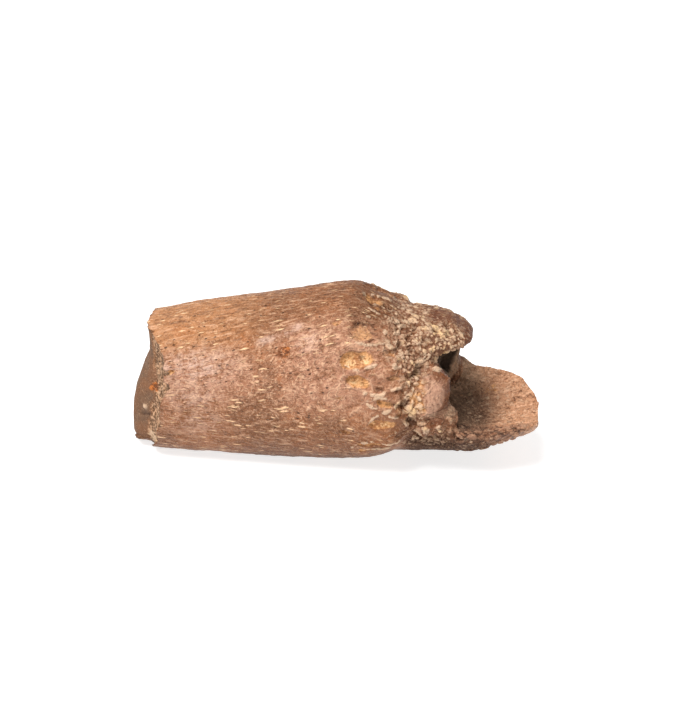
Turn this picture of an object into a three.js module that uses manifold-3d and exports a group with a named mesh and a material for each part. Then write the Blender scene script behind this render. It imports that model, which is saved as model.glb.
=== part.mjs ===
// A broken claw bone of a dinosaur, turned to stone: one fossil, lying on its worn underside.
// Millimetres. +X runs along the bone from the broken tip to the joint end, +Y across it, +Z up.
// While it is shaped, x is the distance from the broken tip, y is measured from the bone's middle
// plane, and z from the surface that it lies on. At the end the origin moves to the centre of the base.

import * as THREE from "three";
import { LoftGeometry } from "three/addons/geometries/LoftGeometry.js";
import { mergeVertices } from "three/addons/utils/BufferGeometryUtils.js";
import Module from "manifold-3d";

const wasm = await Module();
wasm.setup();

// Driving dimensions.
const RING_POINTS = 48; // points round a section of the shaft or the heel plate
const STATION_STEP = 1.4; // mean distance between two sections
const STATION_EASE = 0.6; // 0 spaces the sections evenly, 1 crowds them at the joint end
const SHAFT_SQUARENESS = 2.25; // exponent of a section's superellipse: 2 is an ellipse
const HEEL_SQUARENESS = 3; // the plate's rims are thick and blunt

// The shaft and the collar round its root: at each x, the top and bottom heights and the
// reach of the near (-Y) and far (+Y) sides. The belly dips below 0, where it has rubbed flat.
const SHAFT = [
  { x: -4, top: 20.6, bottom: -0.2, near: 8.8, far: 8.5 },
  { x: 4, top: 22.1, bottom: -0.3, near: 9.6, far: 9.3 },
  { x: 12, top: 23.9, bottom: -0.3, near: 10.5, far: 10.1 },
  { x: 20, top: 25.4, bottom: -0.3, near: 11.1, far: 10.8 },
  { x: 28, top: 26.9, bottom: -0.3, near: 11.6, far: 11.4 },
  { x: 33, top: 28.0, bottom: -0.2, near: 12.0, far: 11.8 },
  { x: 36, top: 28.3, bottom: 0.1, near: 12.2, far: 12.0 },
  { x: 40, top: 26.6, bottom: 0.9, near: 12.2, far: 12.0 },
  { x: 44, top: 24.6, bottom: 2.8, near: 11.8, far: 11.4 },
  { x: 47.4, top: 22.4, bottom: 6.0, near: 10.4, far: 10.0 },
  { x: 49.8, top: 19.6, bottom: 9.6, near: 7.4, far: 7.2 },
];

// The lip that hooks over the joint, in the same terms.
const LIP = [
  { x: 37, top: 25.6, bottom: 15.5, near: 7.4, far: 7.4 },
  { x: 43, top: 25.1, bottom: 15.8, near: 8.2, far: 8.0 },
  { x: 46.5, top: 24.5, bottom: 16.6, near: 7.8, far: 7.4 },
  { x: 49, top: 24.3, bottom: 18.2, near: 6.9, far: 6.4 },
  { x: 51.3, top: 23.8, bottom: 19.4, near: 5.6, far: 5.0 },
  { x: 53.1, top: 22.5, bottom: 20.0, near: 4.0, far: 3.5 },
  { x: 54.2, top: 21.4, bottom: 20.3, near: 2.4, far: 2.1 },
];

// The heel plate, a thick spoon under the joint: half its width, where its middle line lies across
// the bone, and the heights of its two rims, of the floor of its hollow and of its underside.
const HEEL = [
  { x: 36, half: 6.4, middle: 0, nearRim: 8.4, farRim: 8.6, floor: 7.8, under: 1.1 },
  { x: 42, half: 8.5, middle: 0, nearRim: 9.8, farRim: 10.6, floor: 8.2, under: 1.2 },
  { x: 48, half: 9.6, middle: 0, nearRim: 10.6, farRim: 12.2, floor: 8.0, under: 1.6 },
  { x: 53, half: 9.8, middle: 0, nearRim: 9.0, farRim: 11.2, floor: 7.4, under: 2.3 },
  { x: 56, half: 9.7, middle: 0, nearRim: 8.2, farRim: 10.3, floor: 7.1, under: 2.9 },
  { x: 59, half: 9.3, middle: 0, nearRim: 8.6, farRim: 10.1, floor: 7.2, under: 4.0 },
  { x: 61.5, half: 8.4, middle: -0.2, nearRim: 9.0, farRim: 9.9, floor: 7.4, under: 4.9 },
  { x: 63.4, half: 7.1, middle: -0.6, nearRim: 9.0, farRim: 9.6, floor: 7.8, under: 5.7 },
  { x: 64.7, half: 5.4, middle: -1.1, nearRim: 8.8, farRim: 9.2, floor: 8.1, under: 6.4 },
  { x: 65.3, half: 3.6, middle: -1.6, nearRim: 8.5, farRim: 8.8, floor: 8.3, under: 7.1 },
];
const HEEL_SKIN = 1.6; // the hollow's floor stands this much above the plate's core

// The bosses on either side of the joint, the cheeks of bone below them and the socket between
// them, as ellipsoids: centre, radii and pitch in degrees.
const LUMPS = [
  { at: [47.9, -7.4, 15.5], radii: [3.8, 3.8, 4.2], pitch: 0 },
  { at: [48.6, 7.4, 14.3], radii: [4.0, 3.9, 4.2], pitch: 0 },
  { at: [48.8, -7.6, 10.6], radii: [4.4, 3.4, 3.6], pitch: 20 },
  { at: [48.6, 7.6, 10.4], radii: [4.2, 3.4, 3.6], pitch: 14 },
];
const SOCKET = { at: [54.4, 0.3, 15.3], radii: [8.8, 7.4, 5.6], pitch: -8 };
const LUMP_SEGMENTS = [28, 18];

// The break across the tip: at each height, how far along the bone it lies on the near side and
// on the far side. It slants, so that the far half of the bone reaches further, and its low part
// stands out as a tongue.
const BREAK = [
  { z: -6, near: 5.2, far: 0.0 },
  { z: 3, near: 5.6, far: 0.1 },
  { z: 8, near: 6.1, far: 0.6 },
  { z: 11.6, near: 6.7, far: 1.5 },
  { z: 14.5, near: 7.5, far: 3.0 },
  { z: 17, near: 7.1, far: 3.6 },
  { z: 20, near: 6.1, far: 3.7 },
  { z: 22.5, near: 4.6, far: 3.5 },
  { z: 26, near: 3.6, far: 3.4 },
  { z: 38, near: 3.6, far: 3.4 },
];
const BREAK_RAMP = { from: -9.0, to: -1.2 }; // across the bone, from its near to its far line
const CHIP = { reach: 4.2, height: 0.2, edge: 0.4 }; // off the tongue's low near corner
const CUTTER = { thick: 14, wide: 34, tall: 36, cells: 26 };

// Turns a closed three.js geometry into a solid that can be cut and joined.
function solidOf(geometry) {
  const bare = geometry.index ? geometry.toNonIndexed() : geometry.clone();
  bare.deleteAttribute("normal");
  bare.deleteAttribute("uv");
  const merged = mergeVertices(bare, 1e-4);
  return new wasm.Manifold(
    new wasm.Mesh({
      numProp: 3,
      vertProperties: merged.attributes.position.array,
      triVerts: new Uint32Array(merged.index.array),
    }),
  );
}

// Turns a solid back into a three.js geometry.
function geometryOf(solid) {
  const mesh = solid.getMesh();
  return new THREE.BufferGeometry()
    .setAttribute("position", new THREE.BufferAttribute(mesh.vertProperties, 3))
    .setIndex(new THREE.BufferAttribute(mesh.triVerts, 1));
}

// Smooth values between the rows of a table, at any value of their first column.
function profileOf(rows) {
  const [place, ...keys] = Object.keys(rows[0]);
  const values = rows.flatMap((row) => keys.map((key) => row[key]));
  const curve = new THREE.CubicInterpolant(
    rows.map((row) => row[place]),
    values,
    keys.length,
  );
  return (at) => {
    const found = curve.evaluate(at);
    return Object.fromEntries(keys.map((key, i) => [key, found[i]]));
  };
}

// A closed body through the sections that ring(x, angle) gives along the rows of a table.
function loft(rows, ring) {
  const first = rows[0].x;
  const last = rows[rows.length - 1].x;
  const steps = Math.round((last - first) / STATION_STEP);
  const sections = [];
  for (let i = 0; i <= steps; i++) {
    const eased = THREE.MathUtils.lerp(i / steps, Math.sin(((i / steps) * Math.PI) / 2), STATION_EASE);
    const x = THREE.MathUtils.lerp(first, last, eased);
    const points = [];
    for (let j = 0; j < RING_POINTS; j++) {
      points.push(ring(x, (j / RING_POINTS) * 2 * Math.PI));
    }
    sections.push(points);
  }
  return new LoftGeometry(sections, { capStart: true, capEnd: true });
}

// One coordinate of a superellipse, from the cosine or sine of its angle.
function bulge(value, squareness) {
  return Math.sign(value) * Math.abs(value) ** (2 / squareness);
}

// A length of bone, round in section, from a table such as SHAFT.
function limb(rows) {
  const profile = profileOf(rows);
  return loft(rows, (x, angle) => {
    const { top, bottom, near, far } = profile(x);
    const across = bulge(Math.cos(angle), SHAFT_SQUARENESS);
    const up = bulge(Math.sin(angle), SHAFT_SQUARENESS);
    const y = across * (across < 0 ? near : far);
    const z = (top + bottom) / 2 + (up * (top - bottom)) / 2;
    return new THREE.Vector3(x, y, z);
  });
}

function heelPlate() {
  const profile = profileOf(HEEL);
  return loft(HEEL, (x, angle) => {
    const { half, middle, nearRim, farRim, floor, under } = profile(x);
    const core = floor - HEEL_SKIN;
    const across = bulge(Math.cos(angle), HEEL_SQUARENESS);
    const up = bulge(Math.sin(angle), HEEL_SQUARENESS);
    const rim = across < 0 ? nearRim : farRim;
    const dish = (rim - core) * across ** 2;
    const skin = up < 0 ? core - under : HEEL_SKIN;
    return new THREE.Vector3(x, middle + half * across, core + dish + skin * up);
  });
}

function ellipsoid({ at, radii, pitch }) {
  return new THREE.SphereGeometry(1, ...LUMP_SEGMENTS)
    .rotateX(Math.PI / 2)
    .scale(...radii)
    .rotateY(THREE.MathUtils.degToRad(pitch))
    .translate(...at);
}

// How far along the bone the break lies, at a place on the section.
const breakLines = profileOf(BREAK);
function breakAt(y, z) {
  const { lerp, smoothstep } = THREE.MathUtils;
  const { near, far } = breakLines(z);
  const slanted = lerp(near, far, smoothstep(y, BREAK_RAMP.from, BREAK_RAMP.to));
  const low = z + y / 2 - CHIP.height;
  const chipped = 1 - smoothstep(low, -CHIP.edge, CHIP.edge);
  return Math.max(slanted, chipped * CHIP.reach);
}

// What is missing from the tip: a block whose inner face is the break.
function missingTip() {
  const { thick, wide, tall, cells } = CUTTER;
  const block = new THREE.BoxGeometry(thick, wide, tall, 1, cells, cells);
  block.translate(0, 0, tall / 2 - 3);
  const place = block.attributes.position;
  for (let i = 0; i < place.count; i++) {
    const inner = place.getX(i) > 0;
    place.setX(i, inner ? breakAt(place.getY(i), place.getZ(i)) : -thick);
  }
  return block;
}

// Everything below the surface that the bone lies on.
function wornAway() {
  const block = new THREE.BoxGeometry(90, 60, 10);
  block.translate(30, 0, -5);
  return block;
}

function fossilClaw() {
  let bone = solidOf(limb(SHAFT)).add(solidOf(limb(LIP))).add(solidOf(heelPlate()));
  for (const lump of LUMPS) bone = bone.add(solidOf(ellipsoid(lump)));
  bone = bone.subtract(solidOf(ellipsoid(SOCKET)));
  bone = bone.subtract(solidOf(missingTip()));
  bone = bone.subtract(solidOf(wornAway()));
  const geometry = geometryOf(bone);
  geometry.computeBoundingBox();
  const { min, max } = geometry.boundingBox;
  geometry.translate(-(min.x + max.x) / 2, -(min.y + max.y) / 2, -min.z);
  return geometry;
}

const stone = new THREE.MeshStandardMaterial({
  color: 0xa67a60,
  roughness: 0.72,
  metalness: 0,
});

const claw = new THREE.Mesh(fossilClaw(), stone);
claw.name = "fossil_claw";

const fossil = new THREE.Group();
fossil.add(claw);

export default fossil;
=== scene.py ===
"""A dinosaur's claw bone, broken and turned to stone, lying on a pale table.

The solid from the frame gives the whole form. Here it gets its skin: the ragged break with its
spongy inside, the grain of the shaft, the pits and cream nodules of the collar, the granular lip,
the bosses, the rough hollow of the joint and the ribbed heel plate. The bone's lengths are
millimetres until its mesh is written in metres. The table, the lamps and the camera are in metres.
"""

import math

import bpy
import numpy as np
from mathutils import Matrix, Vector, noise
from mathutils.bvhtree import BVHTree
from mathutils.kdtree import KDTree


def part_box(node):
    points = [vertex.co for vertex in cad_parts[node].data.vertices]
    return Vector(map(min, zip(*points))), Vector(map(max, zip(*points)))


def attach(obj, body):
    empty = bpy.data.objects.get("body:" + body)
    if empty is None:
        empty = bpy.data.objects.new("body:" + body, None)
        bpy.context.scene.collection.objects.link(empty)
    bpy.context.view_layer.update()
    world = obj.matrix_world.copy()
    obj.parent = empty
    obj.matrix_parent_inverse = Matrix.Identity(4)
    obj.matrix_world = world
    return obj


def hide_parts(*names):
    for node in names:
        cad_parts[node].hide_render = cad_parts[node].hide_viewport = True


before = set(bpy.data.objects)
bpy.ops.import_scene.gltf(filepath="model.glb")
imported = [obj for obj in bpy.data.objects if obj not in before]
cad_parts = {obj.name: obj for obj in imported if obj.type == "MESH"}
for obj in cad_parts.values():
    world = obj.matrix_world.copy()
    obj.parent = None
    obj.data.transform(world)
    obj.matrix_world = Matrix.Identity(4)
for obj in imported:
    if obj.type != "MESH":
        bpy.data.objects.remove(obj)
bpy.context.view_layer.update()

MM = 0.001
NODE = "fossil_claw"
PIECE = "claw_bone"
LOW, HIGH = (np.array(corner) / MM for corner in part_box(NODE))
_, DEPTH, HEIGHT = HIGH - LOW

VOXEL = 0.2  # the finest geometry
TRIANGLES = 190_000  # how many the finished skin may have
GIRTH = 12.0  # radius that turns an angle round the bone into millimetres
COLLAR = 36.0  # where the collar is widest, from the broken tip
SPREAD = 0.13  # how much the grain climbs towards the top and the belly as it nears the collar
MIDDLE = (0.386, 0.5)  # the shaft's middle at the tip and at the collar, as a share of the height
SIDE_ROOM = 0.25  # how far inside the box's near and far sides the skin starts to be held back
PRESSED = 0.55  # how much of what stands out there is pressed back

ROUGH_STEPS = (17.3, 5.1, 9.7)  # how far one seed's noise is from the next
CELL_STEPS = (13.7, 3.3, 7.9)  # the same for cells
CENTRE_STEP = 3.1  # spreads the cells' centres, so that each gets a number of its own


# Plain helpers on arrays.


def ramp(value, low, high):
    """0 up to low, 1 from high on, and smooth in between."""
    t = np.clip((value - low) / (high - low), 0, 1)
    return t * t * (3 - 2 * t)


def dome(distance, radius):
    """1 at the centre, falling smoothly to 0 at the radius."""
    return np.clip(1 - (distance / radius) ** 2, 0, 1) ** 2


def band(value, low, high, edge):
    """1 between low and high, with soft edges."""
    return ramp(value, low - edge, low + edge) * (1 - ramp(value, high - edge, high + edge))


def rough(points, size, octaves, seed):
    """Fractal noise of about -1 to 1 at points, with features of about that size."""
    start = Vector([seed * step for step in ROUGH_STEPS])
    fade, finer = 1.0, 2.0  # how much weaker and how much finer each octave is
    return np.array([noise.fractal(Vector(p) + start, fade, finer, octaves) for p in points / size])


def cells(points, size, seed, mask):
    """Millimetres to the nearest and second cell centre, and a number for each cell."""
    offset = Vector([seed * step for step in CELL_STEPS])
    near, second = (np.full(len(points), size) for _ in range(2))
    number = np.zeros(len(points))
    for i in np.flatnonzero(mask > 0):
        distances, centres = noise.voronoi(Vector(points[i] / size) + offset)
        near[i] = distances[0] * size
        second[i] = distances[1] * size
        number[i] = noise.cell(centres[0] * CENTRE_STEP)
    return near, second, number


def pebbles(points, size, seed, mask):
    """Heights of 0 to 1 of packed round grains of about that size, and a number for each grain."""
    reach, gap = 0.75 * size, 0.3 * size
    near, second, number = cells(points, size, seed, mask)
    round_top = np.sqrt(np.clip(1 - (near / reach) ** 2, 0, 1))
    return round_top * ramp(second - near, 0, gap), number


def to_line(u, v, line):
    """How far each point (u, v) is from a line through the given points."""
    best = np.full(len(u), 1e9)
    for (u0, v0), (u1, v1) in zip(line, line[1:]):
        du, dv = u1 - u0, v1 - v0
        t = np.clip(((u - u0) * du + (v - v0) * dv) / (du * du + dv * dv), 0, 1)
        best = np.minimum(best, np.hypot(u - u0 - t * du, v - v0 - t * dv))
    return best


# The skin.


class Skin:
    """The fossil's surface while it is shaped: points in millimetres, x counted from the tip."""

    def __init__(self, mesh):
        self.mesh = mesh
        count = len(mesh.vertices)
        flat = np.empty(count * 3, np.float32)
        mesh.vertices.foreach_get("co", flat)
        self.origin = np.array([LOW[0], 0, LOW[2]])
        self.points = flat.reshape(-1, 3).astype(float) / MM - self.origin
        edges = np.empty(len(mesh.edges) * 2, np.int32)
        mesh.edges.foreach_get("vertices", edges)
        self.edges = edges.reshape(-1, 2)
        corners = np.empty(len(mesh.loops), np.int32)
        mesh.loops.foreach_get("vertex_index", corners)
        self.quads = corners.reshape(-1, 4)

    def gather(self, index, values):
        """Adds up rows of values at the points that index names."""
        count = len(self.points)
        return np.stack([np.bincount(index, column, count) for column in values.T], 1)

    def normals(self):
        a, b, c, d = (self.points[self.quads[:, i]] for i in range(4))
        face = np.cross(c - a, d - b)
        total = sum(self.gather(self.quads[:, i], face) for i in range(4))
        return total / np.maximum(np.linalg.norm(total, axis=1, keepdims=True), 1e-12)

    def relax(self, amount, weight):
        """Moves each point towards its neighbours, each edge pulling by its weight."""
        a, b = self.edges.T
        pull = (self.points[b] - self.points[a]) * weight[:, None]
        moved = self.gather(a, pull) - self.gather(b, pull)
        shared = np.bincount(a, weight, len(self.points)) + np.bincount(b, weight, len(self.points))
        self.points += amount * moved / np.maximum(shared, 1e-9)[:, None]

    def smooth(self, rounds, kept):
        """Takes facets away without shrinking. Where kept is 1, creases stay."""
        inward, outward = 0.6, -0.62  # one step shrinks the skin, the other makes up for it
        crease_bend = 0.08  # an edge that bends more than this pulls little
        a, b = self.edges.T
        for i in range(rounds):
            if i % 5 == 0:
                normal = self.normals()
                bend = 1 - (normal[a] * normal[b]).sum(1)
                stiff = np.exp(-bend / crease_bend)
                mixed = np.maximum(kept[a], kept[b])
                weight = 1 - mixed + mixed * stiff
            self.relax(inward, weight)
            self.relax(outward, weight)

    def melt(self, rounds, where):
        """Plain smoothing, only where the mask is 1."""
        held = self.points.copy()
        even = np.ones(len(self.edges))
        for _ in range(rounds):
            self.relax(0.5, even)
            self.points = held + (self.points - held) * where[:, None]

    def raise_by(self, amount):
        """Moves the skin out along its normals, or in where the amount is negative."""
        self.points += self.normals() * amount[:, None]

    def spread(self, values, rounds):
        """Blurs numbers that are kept at the points."""
        a, b = self.edges.T
        count = np.bincount(a, minlength=len(values)) + np.bincount(b, minlength=len(values))
        for _ in range(rounds):
            total = np.bincount(a, values[b], len(values)) + np.bincount(b, values[a], len(values))
            values = 0.5 * values + 0.5 * total / count
        return values

    def write(self, fields):
        """Puts the points back in the mesh, in metres, with the named numbers beside them."""
        placed = (self.points + self.origin) * MM
        self.mesh.vertices.foreach_set("co", placed.astype(np.float32).ravel())
        for name, values in fields.items():
            kind = "FLOAT_VECTOR" if values.ndim == 2 else "FLOAT"
            layer = self.mesh.attributes.new(name, kind, "POINT")
            key = "vector" if values.ndim == 2 else "value"
            layer.data.foreach_set(key, values.astype(np.float32).ravel())
        self.mesh.update()


def voxel_copy(node):
    """The frame's solid as a new object with an even skin of small quads."""
    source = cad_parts[node]
    bone = bpy.data.objects.new(PIECE, source.data.copy())
    bpy.context.scene.collection.objects.link(bone)
    voxels = bone.modifiers.new("voxels", "REMESH")
    voxels.mode = "VOXEL"
    voxels.voxel_size = VOXEL * MM
    depsgraph = bpy.context.evaluated_depsgraph_get()
    mesh = bpy.data.meshes.new_from_object(bone.evaluated_get(depsgraph))
    bone.modifiers.clear()
    bone.data = mesh
    mesh.name = PIECE
    mesh.materials.clear()
    return bone


def solid_normals(skin):
    """The normal of the frame's solid nearest to each point of the skin."""
    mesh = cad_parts[NODE].data
    corners = [v.co for v in mesh.vertices]
    faces = [tuple(p.vertices) for p in mesh.polygons]
    tree = BVHTree.FromPolygons(corners, faces)
    placed = (skin.points + skin.origin) * MM
    return np.array([tree.find_nearest(Vector(p))[1] for p in placed])


# Where things are on the bone. Along counts from the broken tip. Turn is the angle round the
# shaft: 0 is the near side (-Y), 90 the top, 180 the far side and -90 the belly.


class Places:
    """Coordinates on the skin, with a wobble that keeps outlines from looking drawn."""

    def __init__(self, points):
        self.along, self.across, self.up = points.T
        self.middle = np.interp(self.along, [0, COLLAR], [share * HEIGHT for share in MIDDLE])
        self.turn = np.degrees(np.arctan2(self.up - self.middle, -self.across))
        self.wobble_u, self.wobble_v = (
            0.4 * rough(points, 2.4, 2, seed) + 0.16 * rough(points, 0.8, 2, seed + 3)
            for seed in (1, 2)
        )

    def beside(self, turn):
        """Millimetres round the bone from a turn, in the shorter direction."""
        apart = (self.turn - turn + 180) % 360 - 180
        return np.radians(apart) * GIRTH

    def local(self, along, turn, slant):
        """Coordinates about a spot, u along the bone and v round it, turned by the slant."""
        du = self.along - along + self.wobble_u
        dv = self.beside(turn) + self.wobble_v
        c, s = math.cos(math.radians(slant)), math.sin(math.radians(slant))
        return du * c + dv * s, dv * c - du * s

    def from_line(self, line, wobble=1.0):
        """How far each point is from a line of (along, turn) places."""
        turn = line[len(line) // 2][1]
        v = self.beside(turn) + wobble * self.wobble_v
        flat = [(a, math.radians(t - turn) * GIRTH) for a, t in line]
        return to_line(self.along + wobble * self.wobble_u, v, flat)

    def from_spot(self, along, across, wobble=1.0):
        """How far each point is from a spot on the heel plate, seen from above."""
        dv = self.across - across + wobble * self.wobble_v
        return np.hypot(self.along - along + self.wobble_u, dv)


# Foramina of the collar: (along, turn, length, width, slant, depth, cream). Each has a deep
# rounded end towards the tip and runs out towards the joint.
PITS = [
    (38.4, 54, 4.2, 3.8, 6, 0.3, 0.32),
    (39.7, 49, 1.2, 0.9, 0, 0.5, 0.0),
    (38.0, 35, 6.4, 3.3, 10, 0.9, 1.0),
    (38.2, 19, 4.0, 2.7, -12, 0.8, 0.95),
    (42.0, 3, 3.0, 1.4, 4, 0.35, 0.7),
    (41.9, -14, 4.6, 2.6, 4, 0.5, 1.0),
    (40.2, -35, 5.4, 1.2, 2, 0.35, 0.6),
    (39.2, -42, 3.6, 0.9, 2, 0.3, 0.6),
    (39.4, 88, 3.6, 1.9, -8, 0.4, 0.4),
    (40.4, 78, 3.2, 1.5, -12, 0.35, 0.35),
    (42.6, 42, 2.4, 1.3, 18, 0.5, 0.4),
    (43.4, 24, 2.2, 1.3, 10, 0.6, 0.3),
    (44.2, -6, 1.8, 1.1, 0, 0.6, 0.3),
    (34.4, 60, 1.8, 0.8, 14, 0.35, 0.4),
    (35.2, 6, 1.8, 0.7, -4, 0.3, 0.4),
    (36.0, -24, 2.0, 0.8, -4, 0.35, 0.5),
    (8.6, 29, 1.9, 0.8, 0, 0.35, 1.0),
]

# Grooves round the collar and between the joint's lumps: (width, depth, line of (along, turn)).
GROOVES = [
    (1.0, 0.6, [(38.6, 84), (40.4, 84), (42.7, 86), (44.5, 80), (45.5, 73), (45.5, 62),
                (44.9, 55)]),
    (0.9, 0.55, [(44.9, 55), (45.3, 47), (46.1, 40), (47.0, 31)]),
    (1.1, 0.65, [(47.0, 31), (45.7, 23), (44.8, 18), (44.5, 10), (45.0, 2)]),
    (1.1, 0.65, [(45.0, 2), (44.9, -5), (45.8, -14), (47.4, -15), (49.4, -14)]),
    (0.8, 0.4, [(45.8, -14), (46.4, -22), (46.6, -30)]),
    (0.9, 0.6, [(46.2, -36), (48.3, -33), (50.6, -29), (53.0, -32)]),
    (0.6, 0.35, [(43.6, 52), (43.2, 44), (44.0, 36), (43.4, 28)]),
    (0.6, 0.35, [(40.8, 14), (42.6, 12), (43.8, 12)]),
    (0.6, 0.35, [(41.0, 3), (42.8, 3), (44.2, 0)]),
    (0.7, 0.4, [(41.6, -28), (43.6, -27), (45.4, -24)]),
    (0.6, 0.3, [(47.6, 56), (49.0, 62), (49.2, 72)]),
    (0.6, 0.3, [(50.6, 58), (51.2, 70), (50.6, 84)]),
    (0.5, 0.25, [(36.9, 56), (37.4, 60), (38.6, 63), (39.8, 62)]),
    (0.5, 0.25, [(36.6, 54), (37.2, 51), (38.2, 48), (39.8, 48), (41.0, 51)]),
    (0.4, 0.2, [(37.6, 55), (38.6, 54), (39.4, 56), (40.4, 55)]),
    (0.5, 0.3, [(38.6, 79), (39.8, 79), (41.2, 78), (42.8, 76)]),
]

# Cream ridges on the collar, in the same terms: (width, height, line).
RIDGES = [
    (0.40, 0.4, [(38.8, 12), (39.9, 10), (41.4, 10), (42.5, 14), (44.2, 16)]),
    (0.29, 0.3, [(38.8, 6), (39.8, 6), (41.1, 8), (42.2, 8)]),
    (0.40, 0.4, [(39.3, 3), (40.2, -1), (41.9, -3), (43.3, 0), (44.4, 5)]),
    (0.30, 0.25, [(39.6, -14), (40.1, -9), (40.9, -6)]),
    (0.26, 0.2, [(42.6, -6), (44.2, -8), (45.2, -11)]),
    (0.26, 0.2, [(42.6, -23), (44.2, -20)]),
    (0.36, 0.3, [(36.8, -38), (38.2, -33), (39.9, -31), (42.0, -33), (44.0, -31)]),
    (0.32, 0.3, [(38.2, -43), (40.3, -40), (42.4, -41)]),
    (0.29, 0.25, [(35.6, 31), (36.8, 28), (38.8, 29), (40.4, 32)]),
    (0.29, 0.25, [(37.2, 46), (38.8, 45), (40.6, 47), (42.2, 50)]),
    (0.29, 0.25, [(38.4, 66), (40.4, 68), (42.4, 66), (44.0, 68)]),
    (0.29, 0.25, [(41.4, 36), (42.6, 33), (44.2, 32)]),
    (0.40, 0.35, [(37.4, 88), (38.4, 91), (39.9, 93), (41.6, 96)]),
    (0.36, 0.3, [(39.4, 85), (40.6, 84), (42.2, 83), (43.4, 80)]),
    (0.29, 0.25, [(38.6, 74), (40.0, 72), (41.4, 73)]),
]

# Swellings of the collar: (along, turn, length, width, height).
SWELLINGS = [
    (42.4, 66, 5.0, 4.4, 0.6),
    (41.8, 27, 5.4, 3.2, 0.5),
    (42.6, -6, 4.4, 3.0, 0.4),
    (42.8, -28, 4.8, 4.2, 0.6),
    (46.2, 52, 3.6, 4.2, 0.5),
    (35.0, 45, 7.0, 6.0, 0.25),
]

# Cream nodules that stand out singly: (along, turn, radius).
NODULES = [
    (47.9, 68, 1.1), (46.9, -27, 0.9), (45.2, -15, 0.7), (47.5, -32, 0.8), (46.4, -38, 0.8),
    (44.0, 40, 0.8), (43.2, 33, 0.8), (46.6, 52, 0.8), (47.0, 38, 0.9),
    (46.6, 33, 0.8), (43.0, 52, 0.7), (41.4, 58, 0.6), (48.4, 48, 0.7), (49.2, 58, 0.8),
    (45.4, 20, 0.9), (48.4, -22, 0.9), (50.2, -20, 0.8), (49.6, 32, 0.9),
]

# Pale hazes on the shaft near the tip: (along, turn, half length, half width, strength).
HAZES = [(12, 34, 10.5, 4.6, 1.0), (12, 6, 7, 4.0, 0.6), (12, -16, 8, 5.0, 0.5)]

# Where the spongy band of the break begins: (up, along).
SPONGY_EDGE = [(4.5, 2.7), (6.0, 3.0), (8.3, 3.4), (10.8, 4.2), (18.0, 4.2), (20.0, 3.6)]

STAIN = (26.1, 41)  # the rusty square on the shaft
BREAK_STAIN = (-5.3, 12.3)  # the orange spot on the break: across and up
YELLOW_PATCH = (57.6, 6.0)  # the yellow patch on the heel plate: along and across
PLATE_STAIN = (61.7, 3.2)  # the orange spot on the heel plate, in the same terms
PLATE_ROOT = 44  # the plate's ribs fan out from here
BOSS = {"at": (48.5, -10.8, 15.7), "faces": (0.28, -0.92, 0.26), "half": (3.0, 3.7)}
FAR_BOSS = {"at": (49.3, 10.6, 14.5), "faces": (0.24, 0.92, 0.28), "half": (3.0, 3.5)}

FAR_SIDE, FAR_SPACING = 187, 0.93  # the fellow of a feature at turn 0, and how close fellows are
BELLY_TURN, TOP_TURN, PAST_TOP_TURN = -60, 86, 100  # outside these, a feature has no fellow


def other_side(turn):
    """The turn of a near feature's fellow on the far side, which isn't its mirror image."""
    return FAR_SIDE - FAR_SPACING * turn


def with_far_side(features, turn_at):
    """A table of features and their fellows on the far side. turn_at is the turn's column."""
    fellows = []
    for row in features:
        if BELLY_TURN < row[turn_at] < PAST_TOP_TURN:
            shifted = (row[0] + 0.6 * math.sin(7 * row[0]),) + row[1:]
            fellows.append(shifted[:turn_at] + (other_side(row[turn_at]),) + shifted[turn_at + 1:])
    return features + fellows


def with_far_lines(features):
    """The same for a table of lines. A line on the very top has no fellow."""
    fellows = []
    for width, height, line in features:
        shift = 0.5 * math.sin(5 * line[0][0])
        if line[0][1] < TOP_TURN:
            fellows.append((width, height, [(a + shift, other_side(t)) for a, t in line]))
    return features + fellows


def joint_parts(p, solid):
    """Soft masks of the parts round the joint."""
    heel = ramp(p.along, 51.5, 53.5) * (1 - ramp(p.up, 12.6, 14.0))
    floor = ramp(solid[:, 2], 0.25, 0.6) * ramp(p.along, 46.5, 48.5) * (1 - ramp(p.up, 12.4, 13.8))
    lip = ramp(p.along, 44.5, 46.5) * ramp(p.up, 16.8, 18.2)
    deep = np.sqrt(((p.along - 54) / 9.4) ** 2 + (p.across / 7.9) ** 2 + ((p.up - 15.3) / 6.4) ** 2)
    hollow = (1 - ramp(deep, 0.98, 1.06)) * (1 - ramp(p.along, 51.6, 54.5))
    return heel, floor, lip, hollow


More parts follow.
